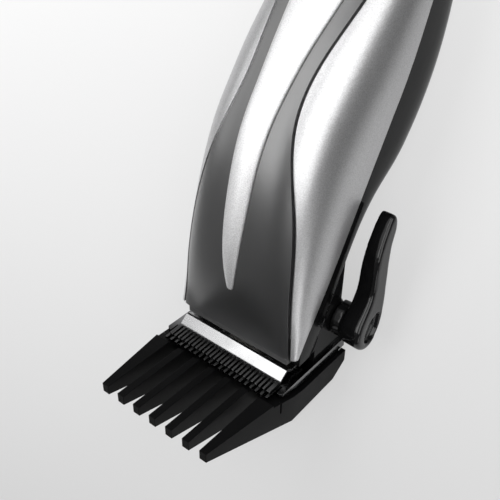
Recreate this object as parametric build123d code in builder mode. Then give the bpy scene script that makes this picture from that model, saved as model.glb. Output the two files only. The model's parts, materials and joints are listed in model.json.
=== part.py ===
from build123d import *
import math
import os

# Hair clipper lying on its back. X points to the lever's side, Y to the cord end, Z out of the front.
# Origin: centre of the flat rest face under the belly. Millimetres.

# Frame
tip_y = -97.0  # line of the fixed blade's tooth tips
seam_z = 29.5  # plane where the two shells meet
tip_rise = 6.0  # tooth tips above the seam plane
blade_angle = 60.0  # between the blade's plane and the body's length

# Body sections: distance behind the tooth tips, half width, front height and back depth from the seam
stations = [
    (9.5, 22.4, 1.3, 21.0),
    (18.0, 22.6, 7.3, 20.0),
    (28.0, 22.8, 13.9, 17.6),
    (40.0, 23.0, 19.6, 15.0),
    (52.0, 23.0, 23.6, 14.6),
    (66.0, 23.0, 26.5, 20.0),
    (82.0, 23.0, 25.7, 29.4),
    (97.0, 23.0, 22.8, 31.0),
    (112.0, 22.2, 18.8, 30.2),
    (126.0, 21.0, 15.6, 26.0),
    (138.0, 18.8, 12.8, 19.8),
    (147.0, 15.4, 10.0, 13.6),
    (153.0, 12.5, 8.6, 9.6),
]
front_power = 2.9  # squareness of the front's arch
back_power = 3.0
arch_steps = 12
wall = 2.2  # shell walls
panel_thick = 1.3
panel_seat = 1.7  # shell left under the panel
seat_play = 0.05  # between pieces that seat in each other

# Face panel and tongue in plan: distance behind the tooth tips and half width
panel_edge = [
    (8.0, 20.6),
    (30.0, 18.6),
    (50.0, 16.4),
    (62.0, 13.4),
    (75.0, 10.1),
    (84.0, 9.3),
    (98.0, 10.6),
    (110.0, 12.3),
    (128.0, 13.2),
]
tongue_edge = [
    (25.0, 0.9),
    (42.0, 3.1),
    (58.0, 3.8),
    (74.0, 4.4),
    (90.0, 5.4),
    (106.0, 7.2),
    (128.0, 8.4),
]
panel_end = 142.0
panel_gap = 0.85  # shadow line round the panel
tongue_gap = 0.3
tongue_bulge = 1.7
tongue_ramp = 14.0  # length over which the bulge grows from the tip
tongue_low = 0.35  # share of the bulge at the tip
tongue_round = 0.8

# Mouth and nose, measured in the blade's frame: back from the tips and up from the blade
mouth_rise = 7.8
nose_front = 12.2
nose_behind = 4.0  # past the blade's rear edge
nose_inset = 1.0  # each side, in from the blade
nose_back_rise = 9.0
nose_top_back = 33.0
nose_top_rise = 19.0
nose_wall = 2.0
nose_round = 2.5
cutter_door_rise = 4.5
cutter_door_back = 20.6
lip_front = 10.2
lip_half = 19.4
lip_bottom = 4.6
lip_groove = 0.4
lip_groove_rise = 6.6

# Fixed blade
blade_half = 23.0
blade_length = 36.0
blade_thick = 3.2
tooth_root = 6.5
tooth_pitch = 2.0
tooth_count = 21
tooth_root_width = 1.25
tooth_tip_width = 0.8
guard_front = 3.3
guard_width = 1.8
guard_corner = 0.8
bevel_back = 12.0
bevel_tip_thick = 0.9
blade_screw_x = 16.5
blade_screw_y = 26.5
screw_r = 1.5
screw_head_r = 2.9
screw_head_h = 1.9
thread_play = 0.05
hole_play = 0.2
blade_boss_r = 3.3
blade_boss_h = 7.0

# Moving cutter
cutter_half = 20.0
cutter_tip = 1.6
cutter_land = 0.75  # top of the teeth
cutter_sheet = 0.8  # thickness behind the teeth
cutter_root = 6.2
cutter_fold = 6.7
cutter_fold_rise = 1.05
ridge_y = 9.5
ridge_z = 3.3
ridge_flat = 0.7
dip_y = 12.4
dip_z = 1.9
cutter_wide_back = 18.0
cutter_back = 24.2
cutter_tail_half = 11.0
cutter_plate = 2.7  # top of the tail
cutter_pitch = 1.47
cutter_gaps = 26
cutter_gap_width = 0.72
blade_play = 0.05  # between blade, cutter and slide
stroke = 1.2  # cutter, each way

# Drive finger, yoke and taper slide
finger_y = 20.0
finger_half_x = 1.9
finger_half_y = 1.4
finger_lift = 0.5  # above the cutter's tail
finger_play = 0.1
finger_long = 12.0
yoke_half = 5.8
yoke_front = 15.2
yoke_back = 23.6
yoke_rise = 5.6
yoke_end_play = 0.3
slide_half = 11.5
slide_end_play = 0.3
taper_travel = 1.7
spring_x = 9.7
spring_width = 2.6
spring_thick = 0.5
spring_reach = 17.0
spring_hump = 0.9

# Taper lever
lever_y = 32.2  # pivot, in the blade's frame
lever_z = 10.8
lever_shaft_r = 2.5
shaft_play = 0.05
eccentric = 2.2
eccentric_r = 1.5
eccentric_lead = 22.5  # degrees before the lowest point, at rest
ear_x = 6.5
ear_half_x = 1.5
ear_half_y = 2.6
ear_top = 2.6
ear_corner = 1.2
ear_gap = 0.2
slot_reach = 0.5
flange_r = 4.0
flange_thick = 1.5
bearing_r = 5.0
hub_r = 6.4
hub_gap = 0.4
hub_step = 0.8
hub_web = 1.6
lever_gap = 3.0  # between body and lever
lever_thick = 7.6
lever_fall = 2.6  # outer face, from hub to tip
lever_round = 1.2
lever_front_edge = [(8.5, 5.0), (13.0, 5.9), (18.0, 8.2), (24.0, 9.7), (30.0, 9.9)]
lever_tip = (35.4, 8.0)
lever_back_edge = [(34.0, 5.2), (28.0, 3.6), (21.5, 1.4), (14.5, -2.0), (8.0, -5.0)]
hub_arc = range(90, 271, 45)  # where the outline follows the hub, in degrees
dimple_r = 3.9
dimple_drop = 1.4  # below the pivot
dimple_depth = 2.2
dimple_reach = 4.4
dimple_end_r = 1.6
dimple_end_drop = 2.2
small_screw_r = 1.2
small_head_r = 2.3
small_head_h = 1.2
small_screw_deep = 6.0

# Motor, measured behind the tooth tips and up from the seam
arm_z = -4.0  # middle of the arm
arm_half_x = 3.0
arm_half_z = 2.5
arm_front = 27.0
tenon = 5.0
tenon_half_x = 1.8
tenon_half_z = 1.4
finger_head_half = 5.0
finger_head_long = 9.0
pivot_y = 118.0
pivot_r = 2.5
arm_hub_r = 6.0
pivot_boss_r = 6.5
washer_play = 0.1
clip_r = 4.5
clip_h = 0.9
pin_over = 2.2
clip_groove = 0.5
core_front = 66.0
core_back = 106.0
core_half_z = 5.0
armature_thick = 3.5
air_gap = 1.2
limb_length = 3.6
limb_width = 6.0
core_bar = 4.0
bobbin_wall = 1.0
bobbin_flange = 1.2
winding_thick = 2.4
bobbin_play = 0.2
stator_post_r = 3.0
stator_screw_deep = 8.0
buffer_y = 52.0
buffer_long = 6.0
buffer_clear = 0.55  # left between arm and buffer at full stroke
buffer_thick = 2.6
buffer_post = 2.4

# Switch, power screw, housing screws, cord inlet
switch_y = 88.0
switch_z = -6.0
switch_travel = 4.0
stem_long = 6.0
stem_high = 4.0
stem_play = 0.3
pad_long = 15.0
pad_high = 8.0
pad_thick = 2.4
pad_gap = 0.35
pad_groove = 0.5
pad_round = 0.8
grip_count = 3
grip_pitch = 1.8
switch_body_in = 12.5
switch_body_out = 19.2
switch_body_long = 26.0
switch_body_high = 11.0
switch_rib = 2.0
stem_inside = 17.2
power_ahead = 4.0  # axis, ahead of the arm's hub
power_z = -6.0
power_r = 2.0
power_head_r = 3.6
power_head_h = 2.0
power_gap = 0.4
slot_w = 0.9
slot_deep = 0.8
power_boss_r = 4.2
power_boss_in = 13.0
housing_screws_at = [(13.0, 44.0, 9.5), (-13.0, 44.0, 9.5), (11.0, 130.0, 12.0), (-11.0, 130.0, 12.0)]
housing_screw_up = 9.0
housing_boss_r = 3.4
head_play = 0.3
inlet_r = 3.2
bush_r = 4.2
bush_flange_r = 5.3
bush_flange = 1.8
bush_out = 4.0

# Guide comb, in the blade's frame
rib_count = 7
rib_pitch = 6.38
rib_thick = 2.4
comb_reach = 26.0
rib_tip_high = 3.2
rib_top = -0.6
comb_blade_gap = 0.5
comb_heel = 7.5
comb_deep = 13.0
comb_floor = 1.8
comb_tip_gap = 0.8
comb_scoop = 6.0
comb_rear_deep = 8.0
comb_short = 1.0  # of the blade's rear edge
comb_back_deep = 12.0
comb_side = 0.9  # wall, outside the gap beside the blade
comb_wall = 1.6
slit_y = 2.0  # small slit across each side wall
slit_wide = 0.6
slit_low = 6.0
slit_high = 4.0

os.makedirs("parts", exist_ok=True)

# Worked out from the sizes above
tip_z = seam_z + tip_rise
lean = math.radians(blade_angle)
tip_line = (0, tip_y, tip_z)
blade_plane = Plane(origin=tip_line, x_dir=(1, 0, 0), z_dir=(0, math.sin(lean), math.cos(lean)))
seam_plane = Plane(origin=(0, 0, seam_z), x_dir=(1, 0, 0), z_dir=(0, 0, 1))
nose_origin = blade_plane.from_local_coords((0, nose_front, 0))
nose_face = Plane(nose_origin, x_dir=(1, 0, 0), z_dir=blade_plane.y_dir)
body_half = max(half for _, half, _, _ in stations)
nose_half = blade_half - nose_inset
nose_back = blade_length + nose_behind
guard_in = blade_half - guard_width
lever_in = body_half + lever_gap
lever_out = lever_in + lever_thick
comb_half = blade_half + comb_blade_gap + comb_side
comb_tip_half = ((rib_count - 1) * rib_pitch + rib_thick) / 2
comb_back = blade_length - comb_short
lever_pivot = blade_plane.from_local_coords(Vector(0, lever_y, lever_z))
lever_plane = Plane(origin=lever_pivot, x_dir=(0, 1, 0), z_dir=(1, 0, 0))
pin_y = lever_y - eccentric * math.sin(math.radians(eccentric_lead))
pin_z = lever_z - eccentric * math.cos(math.radians(eccentric_lead))
slide_back = blade_length - nose_wall - taper_travel - slide_end_play
flange_x = ear_x + ear_half_x + ear_gap
bearing_x = flange_x + flange_thick + ear_gap
shaft_end_x = lever_out - dimple_depth - hub_web
power_y = pivot_y - arm_hub_r - power_ahead
limb_x = arm_half_x + armature_thick + air_gap
bar_x = limb_x + limb_length
arm_bottom = seam_z + arm_z - arm_half_z
core_bottom = seam_z + arm_z - core_half_z
core_height = 2 * core_half_z
stator_screw_backs = (core_front + limb_width / 2, core_back - limb_width / 2)
slide_top = cutter_plate + blade_play
finger_point = blade_plane.from_local_coords(Vector(0, finger_y, cutter_plate))
swing = stroke / (tip_y + pivot_y - finger_point.Y)  # arm, each way, in radians
buffer_x = arm_half_x + swing * (pivot_y - buffer_y + buffer_long / 2) + buffer_clear
post_x = buffer_x + buffer_thick
pad_x = body_half + pad_gap
body_end = stations[-1][0]
front_inset = panel_thick + panel_seat
clear_r = screw_r + hole_play
seat_r = screw_head_r + head_play
beyond = 2 * body_end  # longer than anything it cuts


def save(builder, name):
    builder.part.label = name
    export_step(builder.part, f"parts/{name}.step")


def at(back):
    """Y of a point this far behind the tooth tips."""
    return tip_y + back


def between(table, back):
    """Second column of a table at a distance, on straight lines between its rows."""
    rows = list(zip(table, table[1:]))
    low, high = next((pair for pair in rows if back <= pair[1][0]), rows[-1])
    share = (back - low[0]) / (high[0] - low[0])
    return low[1] + share * (high[1] - low[1])


def across(back):
    """Upright plane across the body: X to the right, Z up from the seam."""
    return Plane(origin=(0, at(back), seam_z), x_dir=(1, 0, 0), z_dir=(0, -1, 0))


def arch(station, upward, inset, forward):
    """One body section as a face: a squared arch above or below the seam."""
    back, half, height, depth = station
    half -= inset
    rise = height - inset if upward else inset - depth
    power = 2 / (front_power if upward else back_power)
    points = [(half, 0)]
    for step in range(1, arch_steps):
        turn = math.pi * step / arch_steps
        run = math.copysign(abs(math.cos(turn)) ** power, math.cos(turn))
        points.append((half * run, rise * math.sin(turn) ** power))
    points.append((-half, 0))
    with BuildSketch(across(back - forward)) as outline:
        with BuildLine():
            Spline(*points)
            Line(points[-1], points[0])
        make_face()
    return outline.sketch.faces()[0]


def body_sections(upward, inset, first=0):
    """The sections of one shell, set in by a wall; the end section moves forward by it too."""
    chosen = stations[first:]
    return [arch(s, upward, inset, inset if s is chosen[-1] else 0.0) for s in chosen]


def tongue_section(station):
    """A section of the raised tongue, wider than the tongue, from under its seat to its crown."""
    back, _, height, _ = station
    half = between(tongue_edge, back) + panel_gap
    share = min(1.0, max(tongue_low, (back - tongue_edge[0][0]) / tongue_ramp))
    low = height - 2 * panel_thick
    with BuildSketch(across(back)) as outline:
        with BuildLine():
            Polyline((-half, height), (-half, low), (half, low), (half, height))
            ThreePointArc((half, height), (0, height + tongue_bulge * share), (-half, height))
        make_face()
    return outline.sketch.faces()[0]


def side_profile(points, x=0.0):
    """Closed outline in the blade's side view: (back from the tips, up from the blade)."""
    plane = Plane(origin=(x, tip_y, tip_z), x_dir=blade_plane.y_dir, z_dir=(1, 0, 0))
    with BuildSketch(plane) as outline:
        with BuildLine():
            Polyline(*points, close=True)
        make_face()
    return outline.sketch


def plan_outline(edge, end, gap=0.0, tip_round=0.0):
    """Symmetric outline in plan that follows half widths along the body."""
    right = [(half + gap, at(back)) for back, half in edge]
    left = [(-x, y) for x, y in reversed(right)]
    tail_y = at(end) + gap
    with BuildSketch(seam_plane) as outline:
        with BuildLine():
            Spline(*right)
            Polyline(right[-1], (right[-1][0], tail_y), (left[0][0], tail_y), left[0])
            Spline(*left)
            Line(left[-1], right[0])
        make_face()
        if tip_round:
            fillet(outline.vertices().group_by(Axis.Y)[0], tip_round + gap)
    return outline.sketch


def spots(radius, places, plane):
    """Circles of one radius at several places of a plane."""
    with BuildSketch(plane) as circles:
        with Locations(*places):
            Circle(radius)
    return circles.sketch


def in_blade(x_low, x_high, y_low, y_high, z_low):
    """Rectangle on the blade's plane, at a height above it."""
    with BuildSketch(blade_plane.offset(z_low)) as outline:
        with Locations(((x_low + x_high) / 2, (y_low + y_high) / 2)):
            Rectangle(x_high - x_low, y_high - y_low)
    return outline.sketch


def in_plan(x_low, x_high, back_low, back_high, z_low):
    """Rectangle level with the seam, at a height."""
    with BuildSketch(Plane.XY.offset(z_low)) as outline:
        with Locations(((x_low + x_high) / 2, at((back_low + back_high) / 2))):
            Rectangle(x_high - x_low, back_high - back_low)
    return outline.sketch


housing_places = [(x, at(back)) for x, back, _ in housing_screws_at]
blade_screw_places = [(blade_screw_x, blade_screw_y), (-blade_screw_x, blade_screw_y)]
stator_places = [(bar_x + core_bar / 2, at(back)) for back in stator_screw_backs]
power_plane = Plane(origin=(0, at(power_y), seam_z + power_z), x_dir=(0, 1, 0), z_dir=(-1, 0, 0))
inlet_plane = Plane(origin=(0, at(body_end), seam_z), x_dir=(1, 0, 0), z_dir=(0, 1, 0))
stem_y = switch_y - switch_travel / 2
slot_long = stem_long + switch_travel + 2 * stem_play

# Front shell and what is let into it
with BuildPart() as panel_layer:
    loft(sections=body_sections(True, 0))
    loft(sections=body_sections(True, panel_thick, first=1), mode=Mode.SUBTRACT)
    split(bisect_by=blade_plane.offset(mouth_rise), keep=Keep.TOP)

with BuildPart() as panel_recess:
    add(panel_layer.part)
    extrude(plan_outline(panel_edge, panel_end, panel_gap), amount=beyond, mode=Mode.INTERSECT)

with BuildPart() as face_panel:
    add(panel_layer.part)
    extrude(plan_outline(panel_edge, panel_end), amount=beyond, mode=Mode.INTERSECT)
    extrude(plan_outline(tongue_edge, panel_end + panel_gap, tongue_gap, tongue_round), amount=beyond,
            mode=Mode.SUBTRACT)
save(face_panel, "face_panel")

with BuildPart() as centre_tongue:
    loft(sections=[tongue_section(s) for s in stations[1:-1]])
    extrude(plan_outline(tongue_edge, panel_end, tip_round=tongue_round), amount=beyond, mode=Mode.INTERSECT)
    loft(sections=body_sections(True, panel_thick, first=1), mode=Mode.SUBTRACT)
save(centre_tongue, "centre_tongue")

with BuildPart() as front_bosses:
    loft(sections=body_sections(True, 0))
    extrude(spots(housing_boss_r, housing_places, seam_plane), amount=beyond, mode=Mode.INTERSECT)

with BuildPart() as front_shell:
    loft(sections=body_sections(True, 0))
    loft(sections=body_sections(True, front_inset, first=1), mode=Mode.SUBTRACT)
    add(front_bosses.part)
    split(bisect_by=blade_plane.offset(mouth_rise), keep=Keep.TOP)
    add(panel_recess.part, mode=Mode.SUBTRACT)
    extrude(spots(screw_r + thread_play, housing_places, seam_plane),
            amount=housing_screw_up + thread_play, mode=Mode.SUBTRACT)
    extrude(spots(bush_r + seat_play, [(0, 0)], inlet_plane), amount=front_inset, both=True,
            mode=Mode.SUBTRACT)
save(front_shell, "front_shell")

# Back shell with the blade seat
nose_outline = [
    (nose_front, 0),
    (nose_back, 0),
    (nose_back, nose_back_rise),
    (nose_top_back, nose_top_rise),
    (nose_top_back, 2 * nose_top_rise),
    (nose_front, 2 * nose_top_rise),
]
nose_inside = [
    (nose_front + nose_wall, -nose_wall),
    (blade_length - nose_wall, -nose_wall),
    (blade_length - nose_wall, nose_wall),
    (nose_back - nose_wall, nose_wall),
    (nose_back - nose_wall, nose_back_rise - nose_wall / 2),
    (nose_top_back - nose_wall, nose_top_rise - nose_wall / 2),
    (nose_top_back - nose_wall, 2 * nose_top_rise),
    (nose_front + nose_wall, 2 * nose_top_rise),
]

with BuildPart() as nose_block:
    extrude(side_profile(nose_outline), amount=nose_half, both=True)
    rear_edges = nose_block.edges().filter_by(Axis.X, reverse=True).filter_by(
        lambda edge: blade_plane.to_local_coords(edge.center()).Y > nose_top_back
        and blade_plane.to_local_coords(edge.center()).Z > nose_round)
    fillet(rear_edges, nose_round)

with BuildPart() as back_outer:
    loft(sections=body_sections(False, 0))
    add(nose_block.part)
    split(bisect_by=seam_plane, keep=Keep.BOTTOM)
    split(bisect_by=blade_plane, keep=Keep.TOP)
    split(bisect_by=nose_face, keep=Keep.TOP)
    split(bisect_by=Plane.XY, keep=Keep.TOP)

with BuildPart() as back_cavity:
    loft(sections=body_sections(False, wall))
    extrude(side_profile(nose_inside), amount=nose_half - nose_wall, both=True)
    split(bisect_by=nose_face.offset(nose_wall), keep=Keep.TOP)
    split(bisect_by=Plane.XY.offset(wall), keep=Keep.TOP)

with BuildPart() as back_features:
    extrude(spots(blade_boss_r, blade_screw_places, blade_plane), amount=blade_boss_h)
    for side in (1, -1):
        web = sorted((side * blade_screw_x, side * nose_half))
        extrude(in_blade(*web, blade_screw_y - blade_boss_r, blade_screw_y + blade_boss_r, 0),
                amount=blade_boss_h)
    extrude(spots(pivot_boss_r, [(0, at(pivot_y))], Plane.XY), amount=arm_bottom - washer_play)
    extrude(spots(stator_post_r, stator_places, Plane.XY), amount=core_bottom)
    for side in (1, -1):
        post = sorted((side * post_x, side * (post_x + buffer_post)))
        extrude(in_plan(*post, buffer_y - buffer_long / 2, buffer_y + buffer_long / 2, 0),
                amount=seam_z + arm_z + arm_half_z)
    extrude(spots(housing_boss_r, housing_places, Plane.XY), amount=seam_z)
    for end in (-1, 1):
        rib_back = switch_y + end * (switch_body_long / 2 - switch_rib)
        extrude(in_plan(-pad_x, -switch_body_in, rib_back - switch_rib / 2, rib_back + switch_rib / 2, 0),
                amount=seam_z + switch_z - switch_body_high / 2)
    extrude(spots(power_boss_r, [(0, 0)], power_plane.offset(power_boss_in)), amount=pad_x)
    extrude(spots(bearing_r, [(0, 0)], lever_plane.offset(bearing_x)), amount=nose_half - bearing_x)
    add(back_outer.part, mode=Mode.INTERSECT)

with BuildPart() as back_shell:
    add(back_outer.part)
    add(back_cavity.part, mode=Mode.SUBTRACT)
    add(back_features.part)
    extrude(in_blade(-nose_half - wall, nose_half + wall, 0, cutter_door_back, -wall),
            amount=cutter_door_rise + wall, mode=Mode.SUBTRACT)
    extrude(spots(screw_r + thread_play, blade_screw_places, blade_plane),
            amount=blade_boss_h - nose_wall / 2, mode=Mode.SUBTRACT)
    extrude(spots(pivot_r + seat_play, [(0, at(pivot_y))], Plane.XY.offset(wall)), amount=seam_z,
            mode=Mode.SUBTRACT)
    extrude(spots(screw_r + thread_play, stator_places, Plane.XY.offset(core_bottom - stator_screw_deep)),
            amount=beyond, mode=Mode.SUBTRACT)
    for (_, _, sink), place in zip(housing_screws_at, housing_places):
        extrude(spots(clear_r, [place], Plane.XY), amount=seam_z, mode=Mode.SUBTRACT)
        extrude(spots(seat_r, [place], Plane.XY), amount=seam_z - sink, mode=Mode.SUBTRACT)
    extrude(spots(lever_shaft_r + shaft_play, [(0, 0)], lever_plane), amount=beyond, mode=Mode.SUBTRACT)
    extrude(spots(flange_r + hole_play, [(0, 0)], lever_plane.offset(flange_x - ear_gap)),
            amount=flange_thick + 2 * ear_gap, mode=Mode.SUBTRACT)
    extrude(spots(power_r + shaft_play, [(0, 0)], power_plane), amount=beyond, mode=Mode.SUBTRACT)
    extrude(spots(bush_r + seat_play, [(0, 0)], inlet_plane), amount=front_inset, both=True,
            mode=Mode.SUBTRACT)
    extrude(in_plan(-pad_x - pad_gap, -switch_body_out, switch_y - slot_long / 2, switch_y + slot_long / 2,
                    seam_z + switch_z - stem_high / 2 - stem_play),
            amount=stem_high + 2 * stem_play, mode=Mode.SUBTRACT)
save(back_shell, "back_shell")

with BuildPart() as nose_lip:
    extrude(in_blade(-lip_half, lip_half, lip_front, nose_front, lip_bottom),
            amount=mouth_rise - seat_play - lip_bottom)
    extrude(in_blade(-lip_half, lip_half, lip_front, lip_front + lip_groove, lip_groove_rise),
            amount=lip_groove, mode=Mode.SUBTRACT)
save(nose_lip, "nose_lip")

# Blade set
with BuildPart() as fixed_blade:
    with BuildSketch(blade_plane.offset(-blade_thick)):
        with Locations((0, (tooth_root + blade_length) / 2)):
            Rectangle(2 * blade_half, blade_length - tooth_root)
        with GridLocations(tooth_pitch, 1, tooth_count, 1):
            Polygon((-tooth_tip_width / 2, 0), (tooth_tip_width / 2, 0), (tooth_root_width / 2, tooth_root),
                    (-tooth_root_width / 2, tooth_root), align=None)
        for side in (1, -1):
            Polygon((side * guard_in, tooth_root), (side * guard_in, guard_front),
                    (side * (blade_half - guard_corner), guard_front),
                    (side * blade_half, guard_front + guard_corner), (side * blade_half, tooth_root),
                    align=None)
    extrude(amount=blade_thick)
    extrude(side_profile([(0, -bevel_tip_thick), (bevel_back, -blade_thick), (bevel_back, -2 * blade_thick),
                          (-blade_thick, -2 * blade_thick), (-blade_thick, -bevel_tip_thick)]),
            amount=blade_half + wall, both=True, mode=Mode.SUBTRACT)
    extrude(spots(clear_r, blade_screw_places, blade_plane), amount=-blade_thick, mode=Mode.SUBTRACT)
save(fixed_blade, "fixed_blade")

with BuildPart() as blade_screws:
    extrude(spots(screw_r, blade_screw_places, blade_plane.offset(-blade_thick)),
            amount=blade_thick + blade_boss_h - nose_wall)
    extrude(spots(screw_head_r, blade_screw_places, blade_plane.offset(-blade_thick)), amount=-screw_head_h)
    for x, y in blade_screw_places:
        extrude(in_blade(x - screw_head_r, x + screw_head_r, y - slot_w / 2, y + slot_w / 2,
                         -blade_thick - screw_head_h), amount=slot_deep, mode=Mode.SUBTRACT)
save(blade_screws, "blade_screws")

cutter_outline = [
    (cutter_tip, blade_play),
    (cutter_fold, blade_play),
    (ridge_y + ridge_flat / 2, ridge_z - cutter_sheet),
    (dip_y, dip_z - cutter_sheet),
    (cutter_wide_back, cutter_plate - cutter_sheet),
    (cutter_wide_back, cutter_plate),
    (dip_y, dip_z),
    (ridge_y + ridge_flat, ridge_z),
    (ridge_y, ridge_z),
    (cutter_fold, cutter_fold_rise),
    (cutter_tip, cutter_land),
]
with BuildPart() as moving_cutter:
    extrude(side_profile(cutter_outline), amount=cutter_half, both=True)
    extrude(in_blade(-cutter_tail_half, cutter_tail_half, cutter_wide_back, cutter_back,
                     cutter_plate - cutter_sheet), amount=cutter_sheet)
    with BuildSketch(blade_plane):
        with Locations((0, (cutter_tip + cutter_root) / 2)):
            with GridLocations(cutter_pitch, 1, cutter_gaps, 1):
                SlotOverall(cutter_root - cutter_tip + cutter_gap_width, cutter_gap_width, rotation=90)
    extrude(amount=ridge_z, mode=Mode.SUBTRACT)
save(moving_cutter, "moving_cutter")

with BuildPart() as cutter_yoke:
    extrude(in_blade(-yoke_half, yoke_half, yoke_front, yoke_back, cutter_plate),
            amount=yoke_rise - cutter_plate)
    extrude(in_blade(-finger_half_x - finger_play, finger_half_x + finger_play,
                     finger_y - finger_half_y - taper_travel - yoke_end_play,
                     finger_y + finger_half_y + yoke_end_play, cutter_plate),
            amount=yoke_rise, mode=Mode.SUBTRACT)
save(cutter_yoke, "cutter_yoke")

with BuildPart() as taper_slide:
    extrude(in_blade(-slide_half, slide_half, cutter_back + blade_play, slide_back, blade_play),
            amount=slide_top - blade_play)
    ear_outline = [
        (pin_y - ear_half_y, blade_play),
        (slide_back, blade_play),
        (slide_back, nose_wall + 2 * ear_gap),
        (pin_y + ear_half_y, nose_wall + 2 * ear_gap),
        (pin_y + ear_half_y, pin_z),
        (pin_y + ear_half_y - ear_corner, pin_z + ear_top),
        (pin_y - ear_half_y, pin_z + ear_top),
    ]
    extrude(side_profile(ear_outline, ear_x), amount=ear_half_x, both=True)
    pin_spot = lever_plane.to_local_coords(blade_plane.from_local_coords(Vector(0, pin_y, pin_z)))
    with BuildSketch(lever_plane.offset(ear_x)):
        with Locations((pin_spot.X, pin_spot.Y)):
            SlotOverall(2 * (eccentric_r + slot_reach), 2 * (eccentric_r + finger_play),
                        rotation=90 - blade_angle)
    extrude(amount=2 * ear_half_x, both=True, mode=Mode.SUBTRACT)
save(taper_slide, "taper_slide")

spring_line = [
    (slide_back - spring_width, slide_top + spring_thick / 2),
    (cutter_back + spring_width, slide_top + spring_thick / 2),
    (cutter_back - spring_width / 2, slide_top + spring_hump),
    (spring_reach, slide_top + spring_thick / 2),
]
with BuildPart() as tension_spring:
    for x in (spring_x, -spring_x):
        plane = Plane(origin=(x, tip_y, tip_z), x_dir=blade_plane.y_dir, z_dir=(1, 0, 0))
        with BuildSketch(plane):
            with BuildLine():
                Polyline(*spring_line)
            trace(line_width=spring_thick)
        extrude(amount=spring_width / 2, both=True)
    extrude(in_blade(-spring_x, spring_x, cutter_back + spring_width, pin_y - ear_half_y - ear_gap,
                     slide_top), amount=spring_thick)
    split(bisect_by=blade_plane.offset(slide_top), keep=Keep.TOP)
save(tension_spring, "tension_spring")

# Drive
finger_head_front = arm_front - finger_head_long
with BuildPart() as drive_finger:
    extrude(in_blade(-finger_half_x, finger_half_x, finger_y - finger_half_y, finger_y + finger_half_y,
                     cutter_plate + finger_lift), amount=finger_long)
    extrude(in_plan(-finger_head_half, finger_head_half, finger_head_front, arm_front, arm_bottom),
            amount=2 * arm_half_z)
    extrude(in_plan(-tenon_half_x - seat_play, tenon_half_x + seat_play, arm_front - tenon, arm_front,
                    seam_z + arm_z - tenon_half_z - seat_play),
            amount=2 * (tenon_half_z + seat_play), mode=Mode.SUBTRACT)
save(drive_finger, "drive_finger")

with BuildPart() as armature_arm:
    extrude(in_plan(-arm_half_x, arm_half_x, arm_front, pivot_y, arm_bottom), amount=2 * arm_half_z)
    extrude(in_plan(-tenon_half_x, tenon_half_x, arm_front - tenon + seat_play, arm_front,
                    seam_z + arm_z - tenon_half_z), amount=2 * tenon_half_z)
    extrude(spots(arm_hub_r, [(0, at(pivot_y))], Plane.XY.offset(arm_bottom)), amount=2 * arm_half_z)
    extrude(spots(pivot_r + shaft_play, [(0, at(pivot_y))], Plane.XY.offset(arm_bottom)),
            amount=2 * arm_half_z, mode=Mode.SUBTRACT)
save(armature_arm, "armature_arm")

with BuildPart() as armature_core:
    extrude(in_plan(arm_half_x, arm_half_x + armature_thick, core_front, core_back, core_bottom),
            amount=core_height)
save(armature_core, "armature_core")

clip_z = arm_bottom + 2 * arm_half_z + washer_play
with BuildPart() as pivot_pin:
    extrude(spots(pivot_r, [(0, at(pivot_y))], Plane.XY.offset(wall)), amount=clip_z + pin_over - wall)
    with BuildSketch(Plane.XY.offset(clip_z)):
        with Locations((0, at(pivot_y))):
            Circle(pivot_r)
            Circle(pivot_r - clip_groove, mode=Mode.SUBTRACT)
    extrude(amount=clip_h, mode=Mode.SUBTRACT)
save(pivot_pin, "pivot_pin")

with BuildPart() as pivot_clip:
    with BuildSketch(Plane.XY.offset(clip_z)):
        with Locations((0, at(pivot_y))):
            Circle(clip_r)
            Circle(pivot_r - clip_groove + seat_play, mode=Mode.SUBTRACT)
        with Locations((0, at(pivot_y) + clip_r / 2)):
            Rectangle(2 * (pivot_r - clip_groove), clip_r, mode=Mode.SUBTRACT)
    extrude(amount=clip_h)
save(pivot_clip, "pivot_clip")

with BuildPart() as rubber_buffers:
    for side in (1, -1):
        pad = sorted((side * buffer_x, side * post_x))
        extrude(in_plan(*pad, buffer_y - buffer_long / 2, buffer_y + buffer_long / 2, arm_bottom),
                amount=2 * arm_half_z)
save(rubber_buffers, "rubber_buffers")

with BuildPart() as stator_core:
    extrude(in_plan(bar_x, bar_x + core_bar, core_front, core_back, core_bottom), amount=core_height)
    extrude(in_plan(limb_x, bar_x, core_front, core_front + limb_width, core_bottom), amount=core_height)
    extrude(in_plan(limb_x, bar_x, core_back - limb_width, core_back, core_bottom), amount=core_height)
    extrude(spots(clear_r, stator_places, Plane.XY.offset(core_bottom)), amount=core_height,
            mode=Mode.SUBTRACT)
save(stator_core, "stator_core")

with BuildPart() as stator_screws:
    extrude(spots(screw_r, stator_places, Plane.XY.offset(core_bottom - stator_screw_deep + hole_play)),
            amount=stator_screw_deep - hole_play + core_height)
    extrude(spots(screw_head_r, stator_places, Plane.XY.offset(core_bottom + core_height)),
            amount=screw_head_h)
save(stator_screws, "stator_screws")

bobbin_front = core_front + limb_width + bobbin_play
bobbin_back = core_back - limb_width - bobbin_play


def ring_round_bar(inner, outer, back_low):
    """Square ring round the stator's bar, between two distances from the bar."""
    middle = (bar_x + core_bar / 2, at(back_low), seam_z + arm_z)
    plane = Plane(origin=middle, x_dir=(1, 0, 0), z_dir=(0, 1, 0))
    with BuildSketch(plane) as outline:
        Rectangle(core_bar + 2 * outer, core_height + 2 * outer)
        Rectangle(core_bar + 2 * inner, core_height + 2 * inner, mode=Mode.SUBTRACT)
    return outline.sketch


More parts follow.
